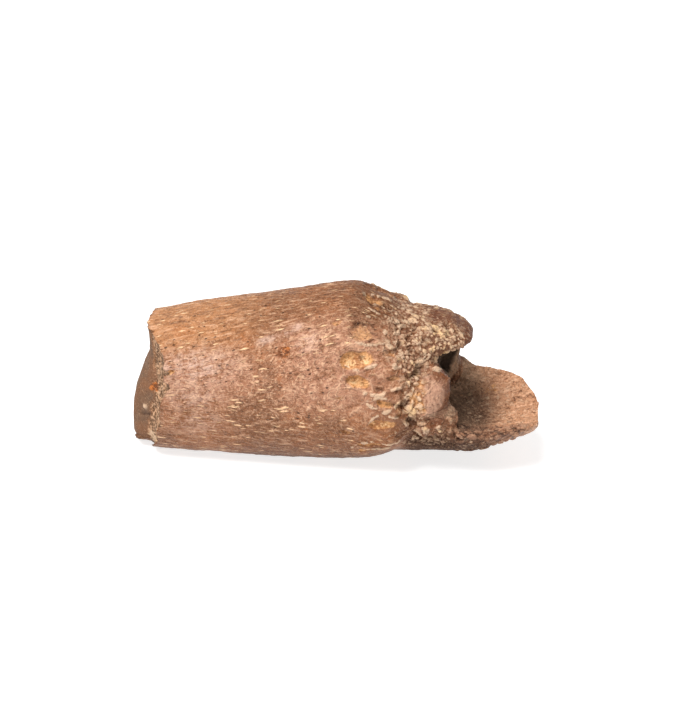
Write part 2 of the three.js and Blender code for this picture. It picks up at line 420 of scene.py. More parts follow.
def shape_pits(p):
    """How far the pits sink the skin, the cream in them and the painted shade at their deep ends.
    """
    head_share, taper = 0.35, 0.45  # how long the rounded end is, and how much a pit narrows
    sunk, cream, shade = (np.zeros(len(p.along)) for _ in range(3))
    for along, turn, length, width, slant, depth, fill in with_far_side(PITS, 1):
        u, v = p.local(along, turn, slant)
        t = np.clip(u / length + 0.5, 0, 1)
        head = np.clip(t / head_share, 0, 1)
        rounding = np.sqrt(np.clip(1 - (1 - head) ** 2, 1e-6, 1))
        half = width / 2 * rounding * (1 - taper * t ** 1.5)
        inside = ramp(1 - np.abs(v) / half, 0, 0.5) * (t > 0) * (t < 1)
        runs_out = 1 - ramp(t, 0.3, 1)
        brim = dome(np.abs(v) / half - 1.2, 0.5) * runs_out * (t > 0)
        sunk = np.maximum(sunk, depth * inside * runs_out) - 0.12 * depth * brim * (inside < 0.05)
        low_side = ramp(-v / half, -1.0, 0.3)
        past_head = ramp(t, 0.04, 0.16)
        # Painted shadow: a dark band inside the upper wall and the deep end of each pit.
        lined = ramp(inside, 0.02, 0.2) * (1 - ramp(inside, 0.45, 0.95)) * (1 - ramp(t, 0.45, 0.8))
        shade = np.maximum(shade, 0.7 * lined * np.maximum(1 - low_side, 1 - past_head))
        filled = fill * ramp(inside, 0.05, 0.9) * (1 - ramp(t, 0.6, 0.98))
        cream = np.maximum(cream, filled * (0.6 + 0.4 * low_side * past_head))
    return sunk, cream, shade


def shape_collar(skin, p, fields):
    """Swellings, pits, grooves, ridges and nodules round the collar."""
    rise = np.zeros(len(p.along))
    for along, turn, length, width, height in with_far_side(SWELLINGS, 1):
        u, v = p.local(along, turn, 0)
        rise += height * dome(np.hypot(u / length, v / width) * 2, 1.0)
    sunk, cream, shade = shape_pits(p)
    rise -= sunk
    uneven = 0.4 + 0.8 * ramp(rough(skin.points, 1.6, 3, seed=6), -0.3, 0.35)
    for width, depth, line in with_far_lines(GROOVES):
        on_line = dome(p.from_line(line), width * uneven)
        rise -= depth * on_line * uneven
        # Painted shade along the bottom of each groove.
        shade = np.maximum(shade, 0.5 * ramp(on_line, 0.2, 0.9) * ramp(uneven, 0.4, 0.9))
    ridge = np.zeros(len(p.along))
    for width, height, line in with_far_lines(RIDGES):
        on_line = dome(p.from_line(line, 0.35), width * (0.6 + 0.5 * uneven))
        rise += height * on_line * (0.5 + 0.5 * uneven)
        ridge = np.maximum(ridge, ramp(on_line, 0.1, 0.6) * ramp(uneven, 0.35, 0.7))
    granule = 0.95 * ridge
    for along, turn, radius in with_far_side(NODULES, 1):
        u, v = p.local(along, turn, 0)
        knob = dome(np.hypot(u, v), radius)
        rise += 0.4 * radius * knob
        granule = np.maximum(granule, ramp(knob, 0.1, 0.5))
    near_pits = ramp(cream, 0.1, 0.5)
    lumps, _ = pebbles(skin.points, 0.7, 9, near_pits)
    rise += 0.14 * near_pits * (lumps - 0.5)
    skin.raise_by(rise)
    fields["cream"] = cream
    # Painted shade in the gaps between the lumps in the pits.
    fields["shade"] = np.maximum(shade, 0.3 * near_pits * (1 - ramp(lumps, 0.05, 0.4)))
    fields["granule"] = granule


def shape_boss(skin, boss, fields):
    """Planes a boss down to an oval face that is rough on its left. Gives the face and its rim."""
    facing = Vector(boss["faces"]).normalized()
    along = (Vector((1, 0, 0)) - facing * facing.x).normalized()
    upward = facing.cross(along)
    offset = skin.points - np.array(boss["at"])
    out, u, v = (offset @ np.array(axis) for axis in (facing, along, upward))
    half_u, half_v = boss["half"]
    edge = np.hypot(u / half_u, v / half_v) + 0.14 * rough(skin.points, 2.2, 3, seed=51)
    close = (np.abs(out) < 3.0) & (skin.normals() @ np.array(facing) > -0.2)
    left = ramp(-u / half_u + 0.4 * rough(skin.points, 1.5, 2, seed=53), -0.1, 0.6)
    worn = (1 - ramp(edge, 0.7, 1.15)) * close
    crown, fall, planed = 0.3, 1.15, 0.85  # the middle's height, its roundness, how much is worn
    level = crown - fall * edge ** 2 - 0.3 * left + 0.3 * rough(skin.points, 1.7, 4, seed=52)
    skin.points += np.outer(planed * worn * (1 - 0.5 * left) * (level - out), np.array(facing))
    fields["cream"] = np.maximum(fields["cream"], 0.45 * worn * left)
    rim = band(edge, 0.86, 1.4, 0.1) * close * ramp(u, -0.1 * half_u, 0.6 * half_u)
    return worn * (1 - left), rim


def shape_granules(skin, p, masks, boss_face, fields):
    """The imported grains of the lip, of the collar's rim and of the socket."""
    heel, floor, lip, hollow = masks
    large_grain, small_grain = 1.1, 0.66
    height, sunk = 0.5, 0.28  # how far a grain stands out, and how far its ground is sunk
    patchy = rough(skin.points, 3.6, 3, seed=11)
    starts = 43.6 - 2.6 * ramp(p.turn, 26, 46) * (1 - ramp(p.turn, 135, 160))
    collar = ramp(p.along + 1.4 * patchy - starts, -1.0, 2.0) * (1 - heel)
    over_top = ramp(p.turn + 8 * patchy, 70, 84) * (1 - ramp(p.turn + 8 * patchy, 96, 110))
    smooth_rim = lip * np.maximum(over_top * ramp(p.along, 46.5, 48.5), ramp(p.along, 53.0, 53.8))
    packed = np.clip(collar + 0.5 * hollow, 0, 1) * (1 - 0.6 * smooth_rim) * (1 - 0.95 * boss_face)
    packed *= 1 - floor * ramp(p.along, 49, 50.5)
    packed *= 1 - 0.6 * hollow
    packed *= 1 - 0.85 * ramp(6.5 - p.up, 0, 2)
    bent = skin.points + 0.75 * np.stack([p.wobble_u, p.wobble_v, -p.wobble_u], 1)
    large, number = pebbles(bent, large_grain, 3, packed)
    small, small_number = pebbles(bent, small_grain, 5, packed)
    standing = ramp(number, -0.2, 0.5)
    lumpy = np.maximum(0.95 * large * standing, 0.65 * small)
    on_top = ramp(p.turn, 64, 80) * (1 - ramp(p.turn, 118, 140))
    skin.raise_by(packed * (height * lumpy - sunk) * (1 - 0.7 * on_top))
    own = np.where(large * standing > 0.65 * small, 0.5 + 0.5 * number, 0.5 + 0.5 * small_number)
    dense = 0.7 + 0.3 * ramp(patchy, -0.7, 0.1)
    # Fewer pale grain tops under the boss: partly sparser grains, partly painted shade under the
    # boss.
    dense *= 1 - 0.6 * ramp(p.along, 44, 46) * (1 - ramp(p.up, 10.5, 13))
    tops = ramp(lumpy, 0.06, 0.5) * (0.45 + 0.55 * ramp(own, 0.05, 0.5))
    fields["granule"] = np.maximum(fields["granule"], packed * tops * dense)
    fields["tone"] = packed * own
    # Painted shade in the gaps between the grains.
    gaps = 1 - ramp(lumpy, 0.02, 0.3)
    fields["shade"] = np.maximum(fields["shade"], 0.45 * packed * gaps)
    fields["smooth_rim"] = smooth_rim
    fields["packed"] = packed


def shape_shaft(skin, p, broken):
    """Slow unevenness, then the grain that runs along the bone, and its pores."""
    slow, quick = rough(skin.points, 9.0, 2, seed=21), rough(skin.points, 3.0, 3, seed=22)
    skin.raise_by(0.1 * slow + 0.1 * quick)
    plain = (1 - ramp(p.along, 37, 45)) * (1 - broken)
    stretched = skin.points * np.array([0.16, 1.0, 1.0])
    ribs = rough(stretched, 0.55, 3, seed=23)
    grit = rough(skin.points, 0.7, 2, seed=25)
    skin.raise_by(plain * (0.045 * ribs + 0.05 * grit))
    spacing, radius, depth = 1.6, 0.3, 0.16
    near, _, number = cells(skin.points * np.array([0.4, 1.0, 1.0]), spacing, 24, plain)
    pores = dome(near, radius) * (number > 0.45)
    skin.raise_by(-plain * depth * pores)
    return plain, plain * pores


def shape_break(skin, p, broken, fields):
    """The ragged rim of the break, its spongy band and the smooth tongue."""
    outer = np.flatnonzero(broken < 0.5)
    close = outer[skin.points[outer, 0] < 14]
    tree = KDTree(len(close))
    for i in close:
        tree.insert(skin.points[i], i)
    tree.balance()
    inward = np.zeros(len(broken))
    for i in np.flatnonzero(broken >= 0.5):
        inward[i] = tree.find(skin.points[i])[2]
    face = ramp(inward, 0.05, 0.35)
    skin.melt(60, ramp(inward, 0.5, 1.3))
    worn = 0.5 * rough(skin.points, 1.6, 3, seed=31)
    edge = np.interp(p.up, *zip(*SPONGY_EDGE))
    beyond = p.along + 0.105 * p.across - edge + 0.5 * worn
    far_rim = ramp(p.across, 0, 2) * (1 - ramp(inward + worn, 1.6, 2.4))
    spongy = face * np.maximum(ramp(beyond, -0.1, 0.3) * (1 - ramp(p.across, 0, 2)), far_rim)
    tongue = face * (1 - spongy)
    grit = rough(skin.points, 0.9, 4, seed=32)
    near, _, number = cells(skin.points, 0.8, 33, spongy)
    holes = dome(near, 0.36)
    ledge = dome(inward - 0.5, 0.6)
    lines = rough(skin.points * np.array([1, 1, 0.12]), 0.5, 2, seed=34)
    skin.points[:, 0] += face * 0.4 * ledge
    skin.points[:, 0] += spongy * (0.3 + 0.2 * grit + 0.25 * holes)
    skin.points[:, 0] += tongue * (0.05 * grit + 0.04 * lines)
    from_step = p.up + 0.53 * p.across - 4.3 + 0.6 * p.wobble_u
    step = tongue * dome(from_step, 0.5) * ramp(-p.across, 3.6, 4.4)
    chip = dome(np.hypot(p.across + 5.0, p.up - 8.3), 0.75) * face
    skin.points[:, 0] += 0.35 * step - 0.35 * chip
    fields["spongy"] = spongy
    fields["tongue"] = tongue
    low = 1 - ramp(p.up + 0.6 * worn, 4.2, 6.0)
    grains = spongy * (1 - holes) * np.maximum(0.32 * (number > 0.35), 0.8 * low * (number > -0.3))
    fields["granule"] = np.maximum.reduce([fields["granule"], grains, 0.75 * chip])
    # Painted shade on the ledge, in the spongy holes and under the step.
    fields["shade"] = np.maximum.reduce([fields["shade"], 0.3 * face * ledge, 0.38 * spongy * holes,
                                         0.7 * step])


def jag(p):
    """How far the break is shifted along the bone at each turn: ragged, with a cusp and a notch."""
    wave = np.array([noise.fractal(Vector((t / 14, 3.3, 0)), 0.8, 2.2, 5) for t in p.turn])
    cusp = 0.7 * dome(p.turn - 17, 5) + 0.5 * dome(p.turn - 30, 3)
    return 0.45 * wave + cusp + 0.5 * band(p.turn, 34, 64, 7)


def shape_heel(skin, p, masks, fields):
    """Ribs that fan out over the heel plate's hollow, its beaded near rim, a crease and specks."""
    heel, floor, _, _ = masks
    fan = np.degrees(np.arctan2(p.across - 0.5, p.along - PLATE_ROOT))
    reach = np.hypot(p.along - PLATE_ROOT, p.across)
    swept = np.stack([reach * 0.2, fan * 0.35, np.zeros(len(fan))], 1) + 0.3 * skin.points
    ribs = rough(swept, 0.9, 4, seed=41)
    grit = rough(skin.points, 0.9, 4, seed=42)
    outward = ramp(p.along, 52, 58)
    near_rim = heel * ramp(-p.across + 0.6 * p.wobble_u, 3.8, 5.6) * (1 - ramp(p.along, 62.5, 65))
    whole = np.clip(heel + floor, 0, 1)
    inner = 1 - ramp(skin.spread(1 - floor, 24), 0.08, 0.5)
    beads, number = pebbles(skin.points * np.array([0.75, 1, 1]), 1.0, 43, near_rim)
    fine, fine_number = pebbles(skin.points, 0.7, 44, whole)
    crease = dome(to_line(p.along + p.wobble_u, p.across + p.wobble_v,
                          [(50.6, -3.4), (52.4, -4.6), (51.8, -6.6), (50.4, -8.6)]), 0.8)
    rise = inner * (0.3 * ribs * outward + 0.2 * grit - 0.4 * crease)
    rise += whole * 0.09 * (fine - 0.4) * (0.4 + 0.6 * inner)
    beaded = near_rim * (0.28 * beads * ramp(number, -0.3, 0.5) - 0.1)
    rise += beaded + heel * (1 - floor) * 0.05 * grit
    skin.raise_by(rise)
    flecked = whole * ramp(fine, 0.4, 0.8) * (fine_number > 0.55)
    fields["granule"] = np.maximum(fields["granule"], 0.45 * flecked)
    gaps = near_rim * (1 - ramp(beads, 0.04, 0.45))
    wrinkles = floor * outward * ramp(-ribs - 0.4 * grit, 0.1, 0.6)
    # Painted shade in the gaps between the beads, in the crease and in the wrinkles.
    fields["shade"] = np.maximum.reduce([fields["shade"], 0.75 * gaps, 0.6 * floor * crease,
                                         0.3 * wrinkles])
    fields["near_rim"] = near_rim
    fields["beads"] = near_rim * ramp(beads, 0.2, 0.7) * ramp(number, -0.4, 0.2)
    patch = dome(p.from_spot(*YELLOW_PATCH, 1.5) / 1.9, 1.0)
    spot = dome(p.from_spot(*PLATE_STAIN) / 1.3, 1.0)
    fields["cream"] = np.maximum(fields["cream"], 0.55 * patch * whole * ramp(fine, 0.2, 0.7))
    fields["rust_plate"] = spot * whole
    fields["ribs"] = floor * outward * ramp(ribs + 0.4 * grit, 0.05, 0.6)
    fields["plate"] = whole


def colour_fields(skin, p, masks, plain, fields):
    """Numbers that say where each tint goes."""
    _, floor, _, hollow = masks
    u, v = p.local(*STAIN, 0)
    worn = 0.35 * rough(skin.points, 1.0, 3, seed=61)
    rust = 1 - ramp(np.hypot(u / 1.25, v / 0.9) + worn, 0.55, 1.2)
    streak = 0.4 * dome(p.from_line([(25.6, 38), (25.8, 30), (25.4, 22)]), 1.1)
    from_spot = np.hypot(p.across - BREAK_STAIN[0], p.up - BREAK_STAIN[1])
    whole_break = np.maximum(fields["spongy"], fields["tongue"])
    on_break = (1 - ramp(from_spot + worn, 0.1, 1.3)) * whole_break
    by_break = 0.45 * dome(np.hypot(*p.local(9.5, 62, 20)) / 2.4, 1.0)
    on_plate = fields.pop("rust_plate") * 0.45
    fields["rust"] = np.maximum.reduce([rust, streak, on_break, by_break, on_plate])
    pale_run = dome(p.from_line([(22.2, 50), (25.6, 54), (28.3, 59)]), 0.8)
    pale_spot = 0.8 * dome(np.hypot(*p.local(29.8, 48, 0)), 2.6)
    hazes = [
        strength * dome(np.hypot((p.along - along) / half_length, p.beside(turn) / half_width), 1.0)
        for along, turn, half_length, half_width, strength in HAZES
    ]
    fields["haze"] = np.maximum.reduce([pale_run, pale_spot] + hazes)
    patchy = rough(skin.points, 2.6, 3, seed=62)
    in_joint = np.maximum(hollow, floor * (1 - ramp(p.along + 1.3 * patchy, 52.0, 60.0)))
    fields["joint"] = skin.spread(in_joint, 4)
    # Painted shade: the socket's deeper part is darkened towards black.
    unlit = hollow * (1 - ramp(p.along + 0.45 * (14 - p.up) + 0.6 * patchy, 49.8, 52.8))
    fields["hollow"] = skin.spread(unlit, 10)
    # Painted shadow on the neck under the collar's overhang.
    low = 1 - ramp(p.up, 6.6, 9.8)
    fields["shaded_neck"] = ramp(p.along, 43.5, 46) * (1 - ramp(p.along, 56, 61)) * low
    on_crest = ramp(p.turn, 52, 66) * (1 - ramp(p.turn, 120, 140)) * (1 - ramp(p.along, 42, 46))
    fields["flecks"] = np.maximum(plain, on_crest)
    fields["crest"] = on_crest * ramp(p.along, 33, 37)
    collar_pink = band(p.turn, -5, 60, 15) * band(p.along, 26, 42, 5)
    tip_pink = band(p.turn, 5, 42, 14) * band(p.along, 6, 22, 7)
    fields["pink"] = np.maximum.reduce([collar_pink, tip_pink, fields["boss_face"]])
    middle = band(p.turn, -20, 46, 14) * (1 - 0.5 * ramp(p.along, 30, 36))
    fields["streaky"] = plain * (1 - 0.8 * middle)
    fields["wrinkled"] = np.maximum.reduce([plain * (0.3 + 0.7 * middle), 0.9 * fields["plate"],
                                            fields["boss_face"]])
    over_top = ramp(p.turn, 28, 62) * (1 - ramp(p.turn, 118, 150))
    fields["tan"] = over_top * (1 - ramp(p.along, 12, 28))
    # Painted shade: the shaft darkens towards its underside.
    fields["belly"] = 1 - ramp(p.up - 2.2 * ramp(p.along, 12, 26), -1.2, 4.6)
    turn = np.radians(p.turn) - SPREAD * np.sin(np.radians(2 * p.turn)) * (p.along - 20) / GIRTH
    ring = np.stack([p.along, np.cos(turn) * GIRTH, np.sin(turn) * GIRTH], 1)
    round_bone = np.maximum.reduce([whole_break, fields["plate"], hollow]) < 0.5
    course = np.where(round_bone[:, None], ring, skin.points)
    fields["grain"] = course + 0.3 * np.stack([p.wobble_v, p.wobble_u, p.wobble_v], 1)


def thinned(bone, spare):
    """Takes triangles away, most of them where the spare numbers are 1, down to the limit."""
    levels = 10
    group = bone.vertex_groups.new(name="spare")
    for level in range(1, levels + 1):
        chosen = np.flatnonzero(np.round(spare * levels) == level)
        group.add(chosen.tolist(), level / levels, "REPLACE")
    collapse = bone.modifiers.new("thinned", "DECIMATE")
    collapse.ratio = min(1, TRIANGLES / (2 * len(bone.data.polygons)))
    collapse.vertex_group = "spare"
    depsgraph = bpy.context.evaluated_depsgraph_get()
    mesh = bpy.data.meshes.new_from_object(bone.evaluated_get(depsgraph))
    bone.modifiers.clear()
    bone.vertex_groups.clear()
    bone.data = mesh
    mesh.name = PIECE


def trim_ends(skin):
    """Points the lip's nose, squares the tongue's lower corner and trims the plate's rim."""
    along, across, up = skin.points.T
    nose = ramp(up, 16, 18)
    # The lip's underside, the plate's far corner and the plate's far rim beside the socket.
    under = band(up, 16.4, 20.6, 0.7) * (1 - ramp(along, 54.6, 55.4))
    skin.points[:, 2] += 1.1 * under * ramp(along, 49.6, 53.4)
    skin.points[:, 2] -= 0.6 * ramp(along, 62.0, 64.0) * ramp(across, 0, 3)
    by_socket = (1 - ramp(along, 52.6, 55.4)) * ramp(along, 48, 50)
    skin.points[:, 2] += 1.0 * by_socket * ramp(across, 5, 7) * band(up, 8, 15, 0.8)
    under_lip = ramp(along, 46, 50) * band(up, 14.5, 21.5, 1)
    skin.points[:, 2] += 0.7 * under_lip * rough(skin.points, 3.6, 3, seed=71)
    # The nose: rounded off, drawn out, pointed at its own height, and sloped back above.
    nose_height = 21.7
    skin.melt(60, ramp(along, 51.6, 53.0) * nose)
    skin.points[:, 0] += 0.7 * ramp(along, 49.5, 52.8) * nose
    off_point = ramp(np.abs(up - nose_height), 0.2, 1.8)
    skin.points[:, 0] -= 0.6 * ramp(along, 51.5, 53.2) * nose * off_point
    skin.points[:, 0] -= 0.7 * ramp(along, 50.5, 52.5) * ramp(up, 22.3, 24.5)
    # The tongue's lower corner.
    skin.points[:, 2] -= 1.1 * (1 - ramp(along, 0.8, 4.2)) * (1 - ramp(up, 3.4, 7.0))


def make_bone():
    bone = voxel_copy(NODE)
    skin = Skin(bone.data)
    solid = solid_normals(skin)
    p = Places(skin.points)
    by_tip = 1 - ramp(p.along, 9, 11)
    broken = (solid[:, 0] < -0.45) & (p.along < 9) & (solid[:, 2] > -0.75)
    skin.smooth(rounds=40, kept=by_tip)
    skin.melt(24, ramp(p.along, 42, 45) * (1 - ramp(p.along, 52, 55)))
    skin.melt(50, ramp(p.across, 1, 3) * band(p.along, 50.8, 56, 0.8) * band(p.up, 8, 16.5, 1))
    skin.points[:, 0] += jag(p) * (1 - ramp(p.along, 7.5, 12))
    trim_ends(skin)
    p = Places(skin.points)
    broken = skin.spread(broken.astype(float), 1)
    masks = joint_parts(p, solid)
    fields = {}
    plain, pores = shape_shaft(skin, p, broken)
    shape_collar(skin, p, fields)
    boss_face, boss_rim = shape_boss(skin, BOSS, fields)
    far_face, far_rim = shape_boss(skin, FAR_BOSS, fields)
    fields["boss_face"] = np.maximum(boss_face, far_face)
    fields["boss_rim"] = np.maximum(boss_rim, far_rim)
    shape_granules(skin, p, masks, np.clip(boss_face + far_face + boss_rim + far_rim, 0, 1), fields)
    shape_break(skin, p, broken, fields)
    shape_heel(skin, p, masks, fields)
    fields["pores"] = pores
    colour_fields(skin, p, masks, plain, fields)
    beyond = np.maximum(np.abs(skin.points[:, 1]) - (DEPTH / 2 - SIDE_ROOM), 0)
    skin.points[:, 1] -= np.sign(skin.points[:, 1]) * PRESSED * beyond
    skin.points[:, 2] = np.maximum(skin.points[:, 2], 0)
    skin.write(fields)
    thinned(bone, plain)
    bone.data.shade_smooth()
    return bone


# The finish.


def tint(red, green, blue):
    """A colour given as it looks on a screen, 0 to 255, as the renderer wants it."""
    def linear(value):
        value /= 255
        return value / 12.92 if value <= 0.04045 else ((value + 0.055) / 1.055) ** 2.4
    return linear(red), linear(green), linear(blue), 1.0


class Wire:
    """A node's output. Expressions on wires add the Math nodes that work them out."""

    def __init__(self, finish, socket):
        self.finish = finish
        self.socket = socket

    def _maths(self, operation, first, second):
        node = self.finish.node("ShaderNodeMath", {"operation": operation}, {0: first, 1: second})
        return node["Value"]

    def __add__(self, other):
        return self._maths("ADD", self, other)

    def __radd__(self, other):
        return self._maths("ADD", other, self)

    def __sub__(self, other):
        return self._maths("SUBTRACT", self, other)

    def __rsub__(self, other):
        return self._maths("SUBTRACT", other, self)

    def __mul__(self, other):
        return self._maths("MULTIPLY", self, other)

    def __rmul__(self, other):
        return self._maths("MULTIPLY", other, self)

    def __abs__(self):
        return self._maths("ABSOLUTE", self, 0.0)


class Outputs:
    """The outputs of one node, by name or number."""

    def __init__(self, finish, node):
        self.finish = finish
        self.made = node

    def __getitem__(self, key):
        return Wire(self.finish, self.made.outputs[key])


class Finish:
    """A material under construction."""

    def __init__(self, name):
        self.material = bpy.data.materials.new(name)
        self.material.use_nodes = True
        self.tree = self.material.node_tree
        self.tree.nodes.clear()

    def node(self, kind, settings=None, inputs=None):
        """Adds a node, sets its settings, then its sockets: a wire is linked, a value is set."""
        made = self.tree.nodes.new(kind)
        for key, value in (settings or {}).items():
            setattr(made, key, value)
        for key, value in (inputs or {}).items():
            if isinstance(value, Wire):
                self.tree.links.new(value.socket, made.inputs[key])
            else:
                made.inputs[key].default_value = value
        return Outputs(self, made)

    def field(self, name):
        """A number that the mesh holds at each point."""
        return self.node("ShaderNodeAttribute", {"attribute_name": name})["Fac"]

    def vector_field(self, name):
        return self.node("ShaderNodeAttribute", {"attribute_name": name})["Vector"]

    def ramp(self, value, low, high):
        """0 at low, 1 at high and smooth in between. Low may be the larger."""
        settings = {"interpolation_type": "SMOOTHSTEP", "clamp": True}
        inputs = {"Value": value, "From Min": low, "From Max": high}
        return self.node("ShaderNodeMapRange", settings, inputs)["Result"]

    def scaled(self, vector, factors):
        inputs = {0: vector, 1: factors}
        return self.node("ShaderNodeVectorMath", {"operation": "MULTIPLY"}, inputs)["Vector"]

    def shifted(self, vector, by):
        return self.node("ShaderNodeVectorMath", {"operation": "ADD"}, {0: vector, 1: by})["Vector"]

    def noise(self, vector, size, detail=3.0, harshness=0.55, warp=0.0):
        """Noise of 0 to 1 with features of about that size in millimetres, swirled by the warp."""
        inputs = {"Vector": vector, "Scale": 1 / size, "Detail": detail, "Roughness": harshness,
                  "Distortion": warp}
        return self.node("ShaderNodeTexNoise", {}, inputs)["Fac"]

    def cells(self, vector, size):
        """Cells of about that size: the distance to a cell's centre and a colour for each."""
        return self.node("ShaderNodeTexVoronoi", {}, {"Vector": vector, "Scale": 1 / size})

    def mix(self, amount, first, second):
        """The first colour where the amount is 0 and the second where it is 1."""
        settings = {"data_type": "RGBA", "clamp_factor": True}
        return self.node("ShaderNodeMix", settings, {0: amount, 6: first, 7: second})[2]


BROWN = tint(146, 91, 55)
TAN = tint(176, 120, 78)
PINK = tint(175, 125, 99)
DULL = tint(124, 77, 46)
# Dark brown for the grain's streaks and worms, and for the painted shade of the underside.
SHADE_AND_GRAIN_BROWN = tint(86, 51, 30)
ORANGE = tint(174, 103, 52)
PEACH = tint(250, 204, 158)
PALE = tint(226, 180, 146)
PALE_PINK = tint(220, 188, 172)
CREAM = tint(238, 198, 146)
GOLD = tint(212, 154, 98)
OCHRE = tint(176, 116, 70)
GREY_CREAM = tint(208, 176, 146)
RUST = tint(186, 104, 38)
RUST_DARK = tint(104, 54, 22)
DARK = tint(50, 27, 17)
RED_BROWN = tint(98, 54, 34)
UMBER = tint(104, 70, 52)
# The colour of the painted shade in grooves, pit walls and gaps.
CREVICE_SHADE = tint(66, 42, 30)
BEAD = tint(184, 138, 110)
STONE = tint(160, 124, 98)
SPONGY = tint(98, 70, 48)
CRUMB = tint(176, 136, 104)
TONGUE = tint(106, 78, 58)
NECK_SHADE = tint(60, 38, 26)
JOINT = tint(172, 138, 110)
SOCKET_SHADE = tint(30, 20, 14)
PLATE = tint(200, 146, 110)
BOSS_PINK = tint(184, 142, 118)

RELIEF = 0.35  # how deep the finest relief is, in millimetres


def fossil_bone():
    f = Finish("fossil_bone")
    grain = f.vector_field("grain")
    place = f.scaled(f.node("ShaderNodeTexCoord")["Object"], (1000, 1000, 1000))
    cream, shade = f.field("cream"), f.field("shade")

    slow = f.noise(place, 6.5, 3.0)
    smudge = f.noise(f.shifted(place, (31, 7, 5)), 3.2, 3.0, 0.6)
    mottle = f.noise(place, 1.5, 4.0, 0.65)
    speck = f.noise(place, 0.4, 2.0, 0.6)
    grit = f.noise(f.shifted(place, (9, 4, 2)), 0.2, 1.0, 0.5)
    curl_place = f.shifted(f.scaled(grain, (0.6, 1.0, 1.0)), (3, 19, 8))
    curls = abs(f.noise(curl_place, 1.1, 2.5, 0.5) - 0.5)
    streaks = f.noise(f.scaled(grain, (0.18, 1.0, 1.0)), 0.5, 4.0, 0.65)
    hair = f.noise(f.scaled(grain, (0.16, 1.0, 1.0)), 0.2, 2.0, 0.6)
    worms = f.noise(f.shifted(f.scaled(grain, (0.7, 1.0, 1.0)), (5, 2, 11)), 0.75, 3.0, 0.6, 1.6)
    streaky, wrinkled = f.field("streaky"), f.field("wrinkled")

    # The stone's ground colour: warm brown, tan near the top of the tip, pinkish by the collar.
    colour = f.mix(f.ramp(slow, 0.35, 0.65), BROWN, DULL)
    colour = f.mix(f.field("tan") * f.ramp(slow, 0.05, 0.45), colour, TAN)
    colour = f.mix(f.ramp(smudge, 0.54, 0.74) * 0.42, colour, ORANGE)
    colour = f.mix(f.field("plate") * 0.8, colour, PLATE)
    colour = f.mix(f.field("pink") * f.ramp(mottle, 0.2, 0.55) * 0.85, colour, PINK)
    colour = f.mix(f.ramp(mottle, 0.54, 0.78) * 0.4, colour, PALE)
    colour = f.mix(f.ramp(mottle, 0.46, 0.25) * 0.45, colour, SHADE_AND_GRAIN_BROWN)
    colour = f.mix(f.ramp(streaks, 0.5, 0.32) * streaky * 0.6, colour, SHADE_AND_GRAIN_BROWN)
    colour = f.mix(f.ramp(streaks, 0.54, 0.68) * streaky * 0.55, colour, PALE)
    colour = f.mix(f.ramp(worms, 0.46, 0.34) * wrinkled * 0.6, colour, SHADE_AND_GRAIN_BROWN)
    colour = f.mix(f.ramp(worms, 0.53, 0.66) * wrinkled * 0.55, colour, PALE)
    haze = f.field("haze") * f.ramp(mottle + (streaks - 0.5) + (speck - 0.5) * 0.4, 0.3, 0.7)
    colour = f.mix(haze * 0.54, colour, PALE_PINK)
    curl = f.ramp(curls, 0.05, 0.015) * f.ramp(mottle, 0.42, 0.56) * (0.25 + f.field("pink") * 0.75)
    colour = f.mix(curl * 0.5, colour, PALE)
    colour = f.mix(f.field("crest") * 0.4, colour, SHADE_AND_GRAIN_BROWN)
    # Painted shade on the underside; the same brown also darkens the grain above.
    colour = f.mix(f.field("belly") * 0.75, colour, SHADE_AND_GRAIN_BROWN)
    colour = f.mix(f.field("packed") * 0.4, colour, UMBER)
    colour = f.mix(f.field("smooth_rim") * 0.8, colour, RED_BROWN)

    # Short pale flecks and fine dark holes that follow the grain.
    flecks = f.field("flecks")
    patches = f.ramp(slow + (streaks - 0.5) - f.field("pink") * 0.12, 0.3, 0.45)
    dash = 0
    for size, rarity in (0.8, 0.48), (0.55, 0.5):
        spots = f.cells(f.scaled(grain, (0.24, 1.0, 1.0)), size)
        own = f.node("ShaderNodeSeparateColor", {}, {0: spots["Color"]})["Red"]
        dash = dash + f.ramp(spots["Distance"], 0.27, 0.13) * f.ramp(own, rarity, rarity + 0.08)
    dash = dash * flecks * patches
    hole_cells = f.cells(f.scaled(grain, (0.55, 1.0, 1.0)), 0.7)
    hole_own = f.node("ShaderNodeSeparateColor", {}, {0: hole_cells["Color"]})["Green"]
    hole = f.ramp(hole_cells["Distance"], 0.2, 0.1) * f.ramp(hole_own, 0.66, 0.72) * flecks
    colour = f.mix(dash * 0.9, colour, PEACH)
    colour = f.mix(hole * 0.7, colour, DARK)

    # The joint, the plate's ribs and the break.
    joint = f.ramp(f.field("joint") + (mottle - 0.5) * 0.5, 0.2, 0.9)
    colour = f.mix(joint * 0.85, colour, JOINT)
    colour = f.mix(f.ramp(f.field("ribs") * f.ramp(mottle, 0.3, 0.6), 0.2, 0.8) * 0.6, colour, PALE)
    blotch = f.field("plate") * f.ramp(mottle + (smudge - 0.5), 0.5, 0.32)
    colour = f.mix(blotch * 0.1, colour, UMBER)
    colour = f.mix(f.ramp(worms, 0.45, 0.34) * f.field("plate") * 0.45, colour, SHADE_AND_GRAIN_BROWN)
    colour = f.mix(f.ramp(worms, 0.53, 0.64) * f.field("plate") * 0.5, colour, PALE)
    colour = f.mix(f.field("boss_face") * f.ramp(worms, 0.3, 0.5) * 0.7, colour, BOSS_PINK)
    colour = f.mix(f.field("boss_rim") * 0.65, colour, RED_BROWN)
    colour = f.mix(f.field("near_rim") * 0.55, colour, RED_BROWN)
    colour = f.mix(f.field("beads") * f.ramp(mottle, 0.3, 0.5) * 0.6, colour, BEAD)
